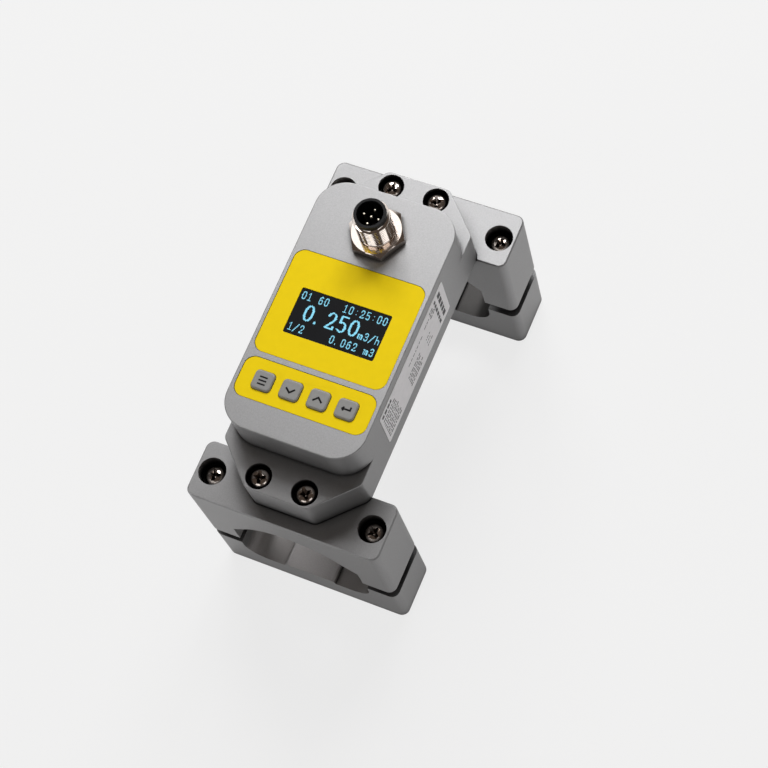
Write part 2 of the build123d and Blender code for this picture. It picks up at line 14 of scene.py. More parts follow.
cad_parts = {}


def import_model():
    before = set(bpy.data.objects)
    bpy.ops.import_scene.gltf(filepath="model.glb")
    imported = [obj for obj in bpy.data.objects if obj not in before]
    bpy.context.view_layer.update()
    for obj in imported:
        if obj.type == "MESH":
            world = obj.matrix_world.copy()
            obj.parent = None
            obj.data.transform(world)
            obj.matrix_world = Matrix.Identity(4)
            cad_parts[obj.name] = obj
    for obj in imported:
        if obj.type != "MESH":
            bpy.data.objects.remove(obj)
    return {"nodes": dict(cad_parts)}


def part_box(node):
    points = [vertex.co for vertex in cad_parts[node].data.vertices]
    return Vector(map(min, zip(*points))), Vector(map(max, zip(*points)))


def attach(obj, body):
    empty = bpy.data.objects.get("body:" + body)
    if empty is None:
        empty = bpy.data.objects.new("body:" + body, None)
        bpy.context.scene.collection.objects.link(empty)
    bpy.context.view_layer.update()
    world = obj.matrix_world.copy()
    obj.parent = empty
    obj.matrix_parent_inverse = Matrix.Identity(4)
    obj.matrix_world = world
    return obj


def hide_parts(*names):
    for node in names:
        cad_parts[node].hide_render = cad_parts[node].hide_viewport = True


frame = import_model()
nodes = frame["nodes"]
scene = bpy.context.scene
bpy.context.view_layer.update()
MM = 0.001
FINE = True
# Edges sharper than this are rounded
SHARP_DEGREES = 28.0
# Depth of the fine relief on every surface, in mm
RELIEF = 0.04


# Materials


def shader(name, colour, metallic, roughness, specular=0.5):
    """A material with one Principled shader; colour is linear red, green, blue."""
    material = bpy.data.materials.new(name)
    material.use_nodes = True
    surface = material.node_tree.nodes["Principled BSDF"]
    surface.inputs["Base Color"].default_value = (*colour, 1.0)
    surface.inputs["Metallic"].default_value = metallic
    surface.inputs["Roughness"].default_value = roughness
    surface.inputs["IOR"].default_value = 1.5
    surface.inputs["Specular IOR Level"].default_value = specular
    return material, surface


def node(material, kind, **values):
    """A shader node of that kind, with its properties and its inputs set by name."""
    made = material.node_tree.nodes.new(kind)
    for key, value in values.items():
        if hasattr(made, key):
            setattr(made, key, value)
        else:
            made.inputs[key.replace("_", " ").title()].default_value = value
    return made


def link(material, source, target):
    material.node_tree.links.new(source, target)


def feed(material, source, target):
    """Gives an input a number, a colour or another node's output."""
    if isinstance(source, bpy.types.NodeSocket):
        link(material, source, target)
    elif hasattr(source, "__len__"):
        target.default_value = (*source, 1.0)
    else:
        target.default_value = source


def combine(material, operation, first, second, clamp=False):
    """The result of a sum on two values, each a number or another node's output."""
    made = node(material, "ShaderNodeMath", operation=operation, use_clamp=clamp)
    feed(material, first, made.inputs[0])
    feed(material, second, made.inputs[1])
    return made.outputs[0]


def all_of(material, first, *others):
    """A mask that is 1 only where all the given masks are 1."""
    for other in others:
        first = combine(material, "MULTIPLY", first, other)
    return first


def inside(material, value, low, high):
    """A mask that is 1 where the value lies between the two limits."""
    above = combine(material, "GREATER_THAN", value, low)
    below = combine(material, "LESS_THAN", value, high)
    return all_of(material, above, below)


def noise(material, scale, detail=2.0, rough=0.5):
    """Noise that is fixed to the object; scale is in cells per metre."""
    place = node(material, "ShaderNodeTexCoord")
    grain = node(material, "ShaderNodeTexNoise", scale=scale, detail=detail, roughness=rough)
    link(material, place.outputs["Object"], grain.inputs["Vector"])
    return grain.outputs["Fac"]


def ramp(material, value, low, high, start=0.3, end=0.7):
    """Maps a value between start and end to a mix of two greys or two colours.

    The usual start and end are those between which most noise lies.
    """
    blend = node(material, "ShaderNodeValToRGB")
    for stop, level, tone in zip(blend.color_ramp.elements, (start, end), (low, high)):
        stop.position = level
        stop.color = (*tone, 1.0) if hasattr(tone, "__len__") else (tone, tone, tone, 1.0)
    link(material, value, blend.inputs["Fac"])
    return blend.outputs["Color"]


def shade(colour, amount):
    return tuple(channel * amount for channel in colour)


def vary(material, surface, colour, scale, spread, rough, rough_spread, bump, bump_scale):
    """Small changes of colour and roughness over the surface, and a fine relief."""
    dark, light = shade(colour, 1 - spread), shade(colour, 1 + spread)
    tone = ramp(material, noise(material, scale), dark, light)
    link(material, tone, surface.inputs["Base Color"])
    patch = noise(material, scale * 1.7)
    level = ramp(material, patch, rough - rough_spread, rough + rough_spread)
    link(material, level, surface.inputs["Roughness"])
    if bump:
        relief = node(material, "ShaderNodeBump", strength=bump, distance=RELIEF * MM)
        link(material, noise(material, bump_scale, 3.0, 0.6), relief.inputs["Height"])
        link(material, relief.outputs["Normal"], surface.inputs["Normal"])


def tint(material, surface, share, factor):
    """Multiplies the colour by a factor, as far as the share goes, from 0 to 1."""
    base = surface.inputs["Base Color"]
    mixer = node(material, "ShaderNodeMix", data_type="RGBA", blend_type="MULTIPLY")
    feed(material, share, mixer.inputs[0])
    link(material, base.links[0].from_socket, mixer.inputs[6])
    feed(material, factor, mixer.inputs[7])
    link(material, mixer.outputs[2], base)


def painted_occlusion_shade(material, reach, darkest_shade, closed_at, open_at):
    """Painted shade from ambient occlusion: 1 in the open, down to the darkest tone; reach in mm.
    """
    near = node(material, "ShaderNodeAmbientOcclusion", samples=8, distance=reach * MM)
    return ramp(material, near.outputs["AO"], darkest_shade, 1.0, closed_at, open_at)


def axes(material, source):
    """X, Y and Z of a coordinate: Object is a point's place, Normal the way its face looks."""
    place = node(material, "ShaderNodeTexCoord")
    split = node(material, "ShaderNodeSeparateXYZ")
    link(material, place.outputs[source], split.inputs[0])
    return split.outputs


def bored_finish_and_painted_light(material, surface, bore, roughness, tone, pad=None, pad_painted_light=None):
    """Gives the arch or the trough of a jaw the smoother finish of a bored surface, and a tint.

    Bore is its half width, lowest and highest level. Pad is the half width and the lowest
    level of a raised rest with a tint of its own. Both are in mm. Faces that look more along
    the bore than across it are left out. In the lower jaws the tints of trough and rest are
    painted light and shade: lighter in the front jaw, darker in the rear one.
    """
    half_width, low, high = (size * MM for size in bore)
    steepest = 0.6
    spot = axes(material, "Object")
    across_bore = inside(material, axes(material, "Normal")["Y"], -steepest, steepest)
    share = all_of(
        material,
        inside(material, spot["X"], -half_width, half_width),
        inside(material, spot["Z"], low, high),
        across_bore,
    )
    if pad:
        pad_half_width, pad_low = (size * MM for size in pad)
        raised = all_of(
            material,
            inside(material, spot["X"], -pad_half_width, pad_half_width),
            combine(material, "GREATER_THAN", spot["Z"], pad_low),
            across_bore,
        )
        share = combine(material, "SUBTRACT", share, raised, clamp=True)
        # Tints of the rest and the bore; in the lower jaws these are painted light and shade
        tint(material, surface, raised, pad_painted_light)
    tint(material, surface, share, tone)
    gloss = node(material, "ShaderNodeMix", data_type="FLOAT")
    feed(material, share, gloss.inputs[0])
    link(material, surface.inputs["Roughness"].links[0].from_socket, gloss.inputs[2])
    feed(material, roughness, gloss.inputs[3])
    link(material, gloss.outputs[0], surface.inputs["Roughness"])


def surface_of(name, colour, metallic, rough, spread=0.05, scale=900.0, rough_spread=0.04,
               bump=0.15, bump_scale=5000.0, painted_shade_in_hollows=(), **more):
    """A material with small changes over it and its shader.

    Each of the hollows paints shade into bores, seams and corners: reach in mm, darkest
    factor, and the openness at which it is darkest and at which it ends.
    """
    material, surface = shader(name, colour, metallic, rough, **more)
    vary(material, surface, colour, scale, spread, rough, rough_spread, bump, bump_scale)
    for hollow in painted_shade_in_hollows:
        tint(material, surface, 1.0, painted_occlusion_shade(material, *hollow))
    return material, surface


ALUMINIUM = {
    "colour": (0.305, 0.305, 0.309), "metallic": 0.92, "rough": 0.47, "spread": 0.07,
    "scale": 3200.0, "rough_spread": 0.03, "bump": 0.35, "bump_scale": 4200.0,
    # Painted shade in bores, seams and corners, at a wide and a narrow reach of ambient occlusion
    "painted_shade_in_hollows": ((8.0, 0.03, 0.12, 0.80), (2.4, 0.04, 0.38, 0.72)),
}
# Looks of the slots, from which each material is made
LOOKS = {
    "anodised_aluminium": ALUMINIUM,
    "screw_steel": {
        "colour": (0.66, 0.59, 0.54), "metallic": 1.0, "rough": 0.15, "spread": 0.06,
        "scale": 1500.0, "rough_spread": 0.05, "bump": 0.06, "bump_scale": 3000.0,
        # Painted shade in the cross recess and round the rim of each head, dark brown
        "painted_shade_in_hollows": ((2.0, (0.035, 0.02, 0.016), 0.35, 0.8),)},
    "nickel_plate": {
        "colour": (0.86, 0.78, 0.72), "metallic": 1.0, "rough": 0.085, "spread": 0.04,
        "scale": 1200.0, "rough_spread": 0.03, "bump": 0.03, "bump_scale": 3000.0},
    "gold_pin": {
        "colour": (0.50, 0.46, 0.38), "metallic": 1.0, "rough": 0.3, "spread": 0.04,
        "scale": 2000.0, "rough_spread": 0.04, "bump": 0.0},
    "black_plastic": {
        "colour": (0.005, 0.005, 0.006), "metallic": 0.0, "rough": 0.42, "spread": 0.2,
        "scale": 1500.0, "rough_spread": 0.05, "bump": 0.08, "bump_scale": 4000.0,
        "specular": 0.15},
    "carrier_plastic": {
        "colour": (0.028, 0.029, 0.031), "metallic": 0.0, "rough": 0.5, "spread": 0.15,
        "scale": 900.0, "rough_spread": 0.06, "bump": 0.2, "bump_scale": 3500.0},
    "wedge_plastic": {
        "colour": (0.55, 0.42, 0.24), "metallic": 0.0, "rough": 0.4, "spread": 0.06,
        "scale": 500.0},
    "piezo_ceramic": {
        "colour": (0.62, 0.58, 0.50), "metallic": 0.0, "rough": 0.55, "spread": 0.05,
        "scale": 700.0},
    "lead_insulation": {
        "colour": (0.45, 0.03, 0.02), "metallic": 0.0, "rough": 0.45, "spread": 0.08,
        "scale": 900.0},
    "yellow_film": {
        "colour": (0.925, 0.68, 0.006), "metallic": 0.0, "rough": 0.5, "spread": 0.015,
        "scale": 350.0, "rough_spread": 0.03, "bump": 0.10, "bump_scale": 2600.0,
        "specular": 0.05},
    "display_glass": {
        "colour": (0.0030, 0.0035, 0.005), "metallic": 0.0, "rough": 0.16, "spread": 0.15,
        "scale": 300.0, "rough_spread": 0.02, "bump": 0.0, "specular": 0.12},
    "circuit_board": {
        "colour": (0.01, 0.10, 0.03), "metallic": 0.0, "rough": 0.45, "spread": 0.15,
        "scale": 800.0},
    "black_rubber": {
        "colour": (0.018, 0.018, 0.018), "metallic": 0.0, "rough": 0.7, "spread": 0.15,
        "scale": 900.0},
    "coupling_rubber": {
        "colour": (0.045, 0.047, 0.05), "metallic": 0.0, "rough": 0.75, "spread": 0.12,
        "scale": 700.0},
    "key_rubber": {
        "colour": (0.255, 0.255, 0.25), "metallic": 0.0, "rough": 0.42, "spread": 0.04,
        "scale": 1500.0, "rough_spread": 0.05, "bump": 0.15, "bump_scale": 4000.0},
    "label_foil": {
        "colour": (0.80, 0.79, 0.81), "metallic": 0.0, "rough": 0.35, "spread": 0.03,
        "scale": 500.0, "rough_spread": 0.05, "bump": 0.06, "bump_scale": 1500.0},
}
SLOTS = {name: surface_of(name, **look)[0] for name, look in LOOKS.items()}

icon_ink = surface_of(
    "icon_ink", (0.008, 0.008, 0.009), 0.0, 0.6, spread=0.12, scale=1500.0, bump=0.0,
    specular=0.1)[0]
label_ink = surface_of(
    "label_ink", (0.10, 0.098, 0.104), 0.0, 0.6, spread=0.12, scale=1500.0, bump=0.0,
    specular=0.2)[0]

# Half width, lowest and highest level of the bored surfaces in the jaws, in mm
ARCH = (22.4, 27.2, 51.5)
TROUGH = (23.0, 10.5, 21.7)
# Half width and lowest level of the raised rest in the trough, in mm
PIPE_REST = (9.5, 12.5)
# Levels between which the shoulder beside the trough lies, in mm
SHOULDER = (21.7, 22.1)


def upper_jaw_metal():
    """Blasted metal with a smoother, darker arch."""
    material, surface = surface_of("upper_jaw_aluminium", **ALUMINIUM)
    bored_finish_and_painted_light(material, surface, ARCH, 0.22, (0.85, 0.82, 0.80))
    return material


def lower_jaw_metal(name, trough_painted_light, rest_painted_light):
    """Blasted metal; the trough and rest carry painted light and shade, the shoulders painted
    shade.
    """
    material, surface = surface_of(name, **ALUMINIUM)
    bored_finish_and_painted_light(material, surface, TROUGH, 0.44, trough_painted_light, PIPE_REST, rest_painted_light)
    # Painted shade on the shoulders, darker where the jaw above closes in
    low, high = (level * MM for level in SHOULDER)
    shoulder = inside(material, axes(material, "Object")["Z"], low, high)
    tint(material, surface, shoulder, painted_occlusion_shade(material, 12.0, 0.10, 0.45, 0.97))
    return material


def glow():
    """Light of the display's lit dots: cyan, a little uneven."""
    material, surface = shader("display_glow", (0.02, 0.06, 0.08), 0.0, 0.5)
    tone = ramp(material, noise(material, 2500.0), (0.16, 0.62, 0.86), (0.30, 0.78, 0.98))
    link(material, tone, surface.inputs["Emission Color"])
    surface.inputs["Emission Strength"].default_value = 1.0
    return material


NODE_SLOTS = {
    "housing": "anodised_aluminium",
    "front_upper_jaw": "anodised_aluminium",
    "rear_upper_jaw": "anodised_aluminium",
    "front_lower_jaw": "anodised_aluminium",
    "rear_lower_jaw": "anodised_aluminium",
    "tongue_screws": "screw_steel",
    "clamp_screws": "screw_steel",
    "carrier_screws": "screw_steel",
    "board_screws": "screw_steel",
    "sensor_carrier": "carrier_plastic",
    "carrier_seal": "black_rubber",
    "connector_seal": "black_rubber",
    "coupling_pad": "coupling_rubber",
    "upstream_wedge": "wedge_plastic",
    "downstream_wedge": "wedge_plastic",
    "upstream_piezo": "piezo_ceramic",
    "downstream_piezo": "piezo_ceramic",
    "upstream_leads": "lead_insulation",
    "downstream_leads": "lead_insulation",
    "display_film": "yellow_film",
    "key_film": "yellow_film",
    "display_lens": "display_glass",
    "display_panel": "display_glass",
    "panel_frame": "black_plastic",
    "menu_key": "key_rubber",
    "down_key": "key_rubber",
    "up_key": "key_rubber",
    "enter_key": "key_rubber",
    "main_board": "circuit_board",
    "key_switches": "black_plastic",
    "board_chips": "black_plastic",
    "connector_shell": "nickel_plate",
    "connector_insert": "black_plastic",
    "connector_pins": "gold_pin",
    "connector_nut": "nickel_plate",
    "side_label": "label_foil",
}
arched_metal = upper_jaw_metal()
JAW_METAL = {
    "front_upper_jaw": arched_metal,
    "rear_upper_jaw": arched_metal,
    # Painted light and shade: the front trough and rest are made lighter, the rear ones darker, as
    # lit and shaded copies of one metal
    "front_lower_jaw": lower_jaw_metal(
        "front_lower_jaw_aluminium_painted_light", (1.15, 1.10, 1.07), (1.75, 1.70, 1.68)),
    "rear_lower_jaw": lower_jaw_metal(
        "rear_lower_jaw_aluminium_painted_shade", (0.15, 0.145, 0.14), (0.6, 0.58, 0.57)),
}
for name, slot_name in NODE_SLOTS.items():
    piece = nodes[name]
    piece.data.materials.clear()
    piece.data.materials.append(JAW_METAL.get(name, SLOTS[slot_name]))


# Meshes


def mesh_of(name, verts, faces):
    """A mesh with doubled points merged and its normals outward."""
    mesh = bpy.data.meshes.new(name)
    mesh.from_pydata([tuple(v) for v in verts], [], faces)
    mesh.validate()
    work = bmesh.new()
    work.from_mesh(mesh)
    bmesh.ops.remove_doubles(work, verts=work.verts, dist=1e-7)
    bmesh.ops.recalc_face_normals(work, faces=work.faces)
    work.to_mesh(mesh)
    work.free()
    return mesh


def add_piece(name, verts, faces, material, body, smooth_degrees=None):
    """A mesh object in the row frame, from points in metres, that rides on a body."""
    mesh = mesh_of(name, verts, faces)
    mesh.materials.append(material)
    if smooth_degrees is not None:
        mesh.shade_smooth()
        mesh.set_sharp_from_angle(angle=math.radians(smooth_degrees))
    piece = bpy.data.objects.new(name, mesh)
    scene.collection.objects.link(piece)
    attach(piece, body)
    return piece


def soften(piece, width_mm, segments=2):
    """Rounds the CAD piece's sharp edges by modifiers, so that they catch the light."""
    weld = piece.modifiers.new("weld", "WELD")
    weld.merge_threshold = 1e-6
    edge = piece.modifiers.new("edge", "BEVEL")
    edge.width = width_mm * MM
    edge.segments = segments
    edge.limit_method = "ANGLE"
    edge.angle_limit = math.radians(SHARP_DEGREES)
    edge.harden_normals = True
    edge.use_clamp_overlap = True
    even = piece.modifiers.new("even_normals", "WEIGHTED_NORMAL")
    even.mode = "FACE_AREA"
    even.weight = 90
    even.keep_sharp = True


def add_ring(verts, spots, centre):
    """Adds a closed ring of points, each a (radius, height) in mm, and returns their numbers."""
    numbers = []
    for step, (radius, height) in enumerate(spots):
        turn = 2 * math.pi * step / len(spots)
        numbers.append(len(verts))
        verts.append((
            (centre[0] + radius * math.cos(turn)) * MM,
            (centre[1] + radius * math.sin(turn)) * MM,
            height * MM,
        ))
    return numbers


def stitch(rings):
    """Faces between closed rings of points, each next to the one before; one point is a tip."""
    faces = []
    for lower, upper in zip(rings, rings[1:]):
        count = max(len(lower), len(upper))
        for step in range(count):
            after = (step + 1) % count
            if len(lower) == 1:
                faces.append((lower[0], upper[step], upper[after]))
            elif len(upper) == 1:
                faces.append((lower[step], lower[after], upper[0]))
            else:
                faces.append((lower[step], lower[after], upper[after], upper[step]))
    return faces


def lathe(profile, steps, centre=(0.0, 0.0)):
    """Points and faces of a profile of (radius, height) in mm turned about a vertical axis."""
    verts, rings = [], []
    for radius, height in profile:
        count = 1 if radius < 1e-9 else steps
        rings.append(add_ring(verts, [(radius, height)] * count, centre))
    return verts, stitch(rings)


def plate(outline, low, high):
    """Points and faces of a flat plate with this outline in mm, between two levels in mm."""
    count = len(outline)
    verts = [(x * MM, y * MM, low * MM) for x, y in outline]
    verts += [(x * MM, y * MM, high * MM) for x, y in outline]
    faces = [tuple(reversed(range(count))), tuple(range(count, 2 * count))]
    for index in range(count):
        after = (index + 1) % count
        faces.append((index, after, count + after, count + index))
    return verts, faces


def helix_thread(radius, depth, pitch, start, end, steps, centre, root=0.06, slope=0.8, detail=8):
    """A cylinder with a ridge that winds from start to end, in mm, and its rings of points.

    Root and slope are the shares of half the pitch at the bottom and along the flank, and
    detail is the number of rings in one pitch. The ridge fades out at both ends.
    """
    run_out = 0.6 * pitch
    verts, rings = [], []
    rows = int(round((end - start) / pitch * detail))
    for row in range(rows + 1):
        height = start + (end - start) * row / rows
        fade = max(0.0, min(1.0, (height - start) / run_out, (end - height) / run_out))
        spots = []
        for step in range(steps):
            phase = ((height - start) / pitch - step / steps) % 1.0
            ridge = 1 - abs(2 * phase - 1)
            ridge = min(max((ridge - root) / slope, 0.0), 1.0)
            spots.append((radius - depth * (1 - ridge * fade), height))
        rings.append(add_ring(verts, spots, centre))
    return verts, stitch(rings), rings


def join(parts):
    """One list of points and faces out of several."""
    verts, faces = [], []
    for more, sides in parts:
        base = len(verts)
        verts += list(more)
        faces += [tuple(base + index for index in side) for side in sides]
    return verts, faces


# Screws


def cross_head(head_width, head_height, recess_width, recess_depth):
    """A pan head with a cross recess, its underside at height 0, as points and faces in mm."""
    half = head_width / 2
    dome_share, dome_roundness = 0.72, 2.6
    rim = 0.12
    arm_top, arm_foot = (0.67, 0.17), (0.08, 0.04)
    cone_top, cone_foot, cone_depth = 0.34, 0.07, 1.08
    profile = [(0.0, head_height)]
    for share in (0.25, 0.45, 0.62, 0.76, 0.87, 0.95, 0.99, 1.0):
        drop = 1 - math.sqrt(max(0.0, 1 - share ** dome_roundness))
        profile.append((half * share, head_height - drop * head_height * dome_share))
    profile += [(half, rim), (half - rim, 0.0), (0.0, 0.0)]
    verts, faces = lathe(profile, 64 if FINE else 32)
    head = scratch_object("head", [Vector(v) / MM for v in verts], faces)
    top = head_height + 0.4
    bottom = head_height - recess_depth
    for turn in (0.0, math.pi / 2):
        corners = []
        for level, (long_share, short_share) in ((top, arm_top), (bottom, arm_foot)):
            long, short = recess_width * long_share, recess_width * short_share
            for x, y in ((-long, -short), (long, -short), (long, short), (-long, short)):
                corners.append((
                    x * math.cos(turn) - y * math.sin(turn),
                    x * math.sin(turn) + y * math.cos(turn),
                    level,
                ))
        sides = [(3, 2, 1, 0), (4, 5, 6, 7), (0, 1, 5, 4), (1, 2, 6, 5), (2, 3, 7, 6), (3, 0, 4, 7)]
        cut(head, corners, sides)
    cone = [
        (0.0, top), (recess_width * cone_top, top), (recess_width * cone_foot, bottom),
        (0.0, head_height - recess_depth * cone_depth),
    ]
    verts, faces = lathe(cone, 24)
    cut(head, [Vector(v) / MM for v in verts], faces)
    points = [tuple(vertex.co) for vertex in head.data.vertices]
    sides = [tuple(face.vertices) for face in head.data.polygons]
    bpy.data.objects.remove(head)
    return points, sides


def scratch_object(name, verts, faces):
    """An object that lives only while a shape is cut."""
    made = bpy.data.objects.new(name, mesh_of(name, verts, faces))
    scene.collection.objects.link(made)
    return made


def cut(target, verts, faces):
    """Takes a closed shape out of the target's mesh."""
    tool = scratch_object("tool", verts, faces)
    step = target.modifiers.new("cut", "BOOLEAN")
    step.operation = "DIFFERENCE"
    step.solver = "EXACT"
    step.object = tool
    bpy.context.view_layer.update()
    shown = target.evaluated_get(bpy.context.evaluated_depsgraph_get())
    result = bpy.data.meshes.new_from_object(shown)
    target.modifiers.remove(step)
    target.data = result
    bpy.data.objects.remove(tool)


def placed(points, turn_degrees, x, y, z):
    """Points in mm turned about the vertical axis and moved, as metres."""
    turn = math.radians(turn_degrees)
    return [
        (
            (x + px * math.cos(turn) - py * math.sin(turn)) * MM,
            (y + px * math.sin(turn) + py * math.cos(turn)) * MM,
            (z + pz) * MM,
        )
        for px, py, pz in points
    ]


def screws(name, replaced, spots, turns, seat, length, head):
    """M4 screws with a cross recess and a real thread, in place of a CAD node; sizes in mm."""
    width, pitch, thread_depth = 4.0, 0.7, 0.34
    point, neck = 0.5, 0.1
    parts = []
    for (x, y), turn in zip(spots, turns):
        parts.append((placed(head[0], turn, x, y, seat), head[1]))
        low = seat - length
        shaft, sides, rings = helix_thread(
            width / 2, thread_depth, pitch, low + point, seat - neck, 20 if FINE else 12, (x, y))
        base = len(shaft)
        shaft.append((x * MM, y * MM, low * MM))
        shaft.append((x * MM, y * MM, (seat - neck) * MM))
        for index in range(len(rings[0])):
            after = (index + 1) % len(rings[0])
            sides.append((rings[0][after], rings[0][index], base))
            sides.append((rings[-1][index], rings[-1][after], base + 1))
        parts.append((shaft, sides))
    verts, faces = join(parts)
    piece = add_piece(name, verts, faces, SLOTS["screw_steel"], "meter", 32)
    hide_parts(replaced)


HEAD_WIDTH, HEAD_HEIGHT = 7.0, 2.6
m4_head = cross_head(HEAD_WIDTH, HEAD_HEIGHT, recess_width=4.4, recess_depth=2.0)
for name, replaced, turns, length in (
    ("tongue_screw_set", "tongue_screws", (17.0, 40.0, 68.0, 25.0), 20.0),
    ("clamp_screw_set", "clamp_screws", (8.0, 55.0, 30.0, 75.0), 45.0),
):
    top_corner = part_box(replaced)[1]
    x = top_corner.x / MM - HEAD_WIDTH / 2
    y = top_corner.y / MM - HEAD_WIDTH / 2
    seat = top_corner.z / MM - HEAD_HEIGHT
    screws(name, replaced, [(-x, -y), (x, -y), (-x, y), (x, y)], turns, seat, length, m4_head)


# Connector

shell_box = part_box("connector_shell")
connector_x = (shell_box[0].x + shell_box[1].x) / 2 / MM
connector_y = (shell_box[0].y + shell_box[1].y) / 2 / MM
face_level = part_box("housing")[1].z / MM
hex_top = face_level + 3.0
sleeve_radius = 6.0
wall_radius = 5.3
shell_top = shell_box[1].z / MM
shell_low = shell_box[0].z / MM


def connector_shell():
    """Hexagon with a turned chamfer, the sleeve with its fine thread, and the stub below."""
    centre = (connector_x, connector_y)
    columns = 96
    half_side = math.pi / 6
    flat = (shell_box[1].x - shell_box[0].x) / 2 / MM * math.cos(half_side)
    ring_radius = flat * 0.975
    chamfer_slope = math.tan(math.radians(30))
    foot_inset, foot_height = 0.05, 0.08
    thread_depth, thread_pitch, lip = 0.5, 1.0, 0.6
    lip_radius, stub_bore, stub_chamfer = 5.4, 4.45, 0.3
    edges = []
    for step in range(columns):
        off_corner = (2 * math.pi * step / columns + half_side) % (2 * half_side) - half_side
        edges.append(flat / math.cos(half_side - abs(off_corner)))
    verts = []
    rings = [add_ring(verts, spots, centre) for spots in (
        [(edge - foot_inset, face_level) for edge in edges],
        [(edge, face_level + foot_height) for edge in edges],
        [(edge, hex_top - (edge - ring_radius) * chamfer_slope) for edge in edges],
        [(ring_radius, hex_top)] * columns,
        [(lip_radius, hex_top)] * columns,
    )]
    faces = stitch(rings)
    faces.append(tuple(reversed(rings[0])))
    thread, sides, _ = helix_thread(
        sleeve_radius, thread_depth, thread_pitch, hex_top - 0.05, shell_top - lip, columns,
        centre, root=0.25, slope=0.625, detail=16)
    crown = lathe([
        (sleeve_radius, shell_top - lip), (lip_radius + 0.05, shell_top - 0.03),
        (lip_radius, shell_top), (wall_radius, shell_top), (wall_radius, face_level + 1.2),
    ], columns, centre)
    stub = lathe([
        (stub_bore, face_level), (stub_bore, shell_low),
        (sleeve_radius - stub_chamfer, shell_low), (sleeve_radius, shell_low + stub_chamfer),
        (sleeve_radius, face_level),
    ], columns, centre)
    return join([(verts, faces), (thread, sides), crown, stub])


verts, faces = connector_shell()
shell = add_piece(
    "connector_body", verts, faces, SLOTS["nickel_plate"], "meter", 25)
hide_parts("connector_shell")


# Display

lens_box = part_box("display_lens")
lens_border = 1.4
window = {
    "left": lens_box[0].x / MM + lens_border, "right": lens_box[1].x / MM - lens_border,
    "bottom": lens_box[0].y / MM + lens_border, "top": lens_box[1].y / MM - lens_border,
}
lens_top = lens_box[1].z / MM
DOTS_ACROSS, DOTS_DOWN = 128, 64

# Strokes of each character in its cell, x to the right and y up, both from 0 to 1
GLYPHS = {
    "0": [[
        (0.5 + 0.34 * math.sin(t * math.pi / 12), 0.5 + 0.45 * math.cos(t * math.pi / 12))
        for t in range(25)
    ]],
    "1": [[(0.26, 0.80), (0.52, 0.95), (0.52, 0.05)], [(0.24, 0.05), (0.80, 0.05)]],
    "2": [
        [(0.17, 0.72), (0.22, 0.86), (0.40, 0.95), (0.62, 0.94), (0.79, 0.82), (0.80, 0.66),
         (0.66, 0.46), (0.38, 0.24), (0.17, 0.05)],
        [(0.17, 0.05), (0.84, 0.05), (0.84, 0.18)],
    ],
    "3": [[(0.19, 0.80), (0.32, 0.93), (0.58, 0.95), (0.77, 0.83), (0.76, 0.64), (0.56, 0.53),
           (0.40, 0.53)],
          [(0.56, 0.53), (0.80, 0.40), (0.82, 0.22), (0.66, 0.07), (0.40, 0.04), (0.18, 0.18)]],
    "5": [[(0.78, 0.95), (0.24, 0.95), (0.21, 0.54), (0.48, 0.62), (0.74, 0.52), (0.82, 0.33),
           (0.74, 0.13), (0.50, 0.04), (0.20, 0.15)]],
    "6": [[(0.74, 0.84), (0.52, 0.95), (0.30, 0.82), (0.18, 0.50), (0.22, 0.18), (0.44, 0.04),
           (0.68, 0.08), (0.82, 0.28), (0.74, 0.50), (0.50, 0.58), (0.24, 0.42)]],
    "m": [[(0.06, 0.60), (0.16, 0.58), (0.16, 0.05)],
          [(0.16, 0.48), (0.34, 0.60), (0.50, 0.50), (0.50, 0.05)],
          [(0.50, 0.48), (0.68, 0.60), (0.86, 0.50), (0.86, 0.05)]],
    "h": [[(0.10, 0.95), (0.24, 0.95), (0.24, 0.05)],
          [(0.24, 0.46), (0.48, 0.60), (0.76, 0.50), (0.78, 0.05)]],
    "/": [[(0.12, 0.0), (0.88, 0.98)]],
    ":": [[(0.5, 0.24), (0.5, 0.26)], [(0.5, 0.66), (0.5, 0.68)]],
    ".": [[(0.22, 0.03), (0.22, 0.12)]],
    " ": [],
}
THIN_NIB = (0.62, 0.62)
WIDE_NIB = (1.55, 0.8)

# Each line: text, left and top of its first cell, cell width and height, nib; all in dots
READING = (
    ("01 60", 3, 4, 8, 11, THIN_NIB),
    ("10:25:00", 62, 4, 8, 11, THIN_NIB),
    ("0.250", 15, 19, 16, 23, WIDE_NIB),
    ("m3/h", 95, 31, 8, 11, THIN_NIB),
    ("1/2", 3, 48, 8, 11, THIN_NIB),
    ("0.062 m3", 62, 48, 8, 11, THIN_NIB),
)


def nibs_away(point, start, end, nib):
    """Distance from a point to a straight stroke, in widths of the nib."""
    px, ax, bx = (place[0] / nib[0] for place in (point, start, end))
    py, ay, by = (place[1] / nib[1] for place in (point, start, end))
    long = (bx - ax) ** 2 + (by - ay) ** 2
    along = 0.0
    if long > 1e-12:
        along = ((px - ax) * (bx - ax) + (py - ay) * (by - ay)) / long
        along = min(max(along, 0.0), 1.0)
    return math.hypot(px - ax - along * (bx - ax), py - ay - along * (by - ay))


def reach_of(a, b, nib_size):
    """Dots along one axis that a stroke between two places could touch."""
    return range(int(min(a, b) - nib_size) - 1, int(max(a, b) + nib_size) + 2)


def lit_dots(text, left, top, wide, tall, nib):
    """Dots of the display that a line of text lights."""
    found = set()
    for index, letter in enumerate(text):
        cell = left + index * wide
        for line in GLYPHS[letter]:
            points = [(cell + x * (wide - 1), top + (1 - y) * tall) for x, y in line]
            for start, end in zip(points, points[1:]):
                for column in reach_of(start[0], end[0], nib[0]):
                    for row in reach_of(start[1], end[1], nib[1]):
                        if nibs_away((column + 0.5, row + 0.5), start, end, nib) <= 1.0:
                            found.add((column, row))
    return found


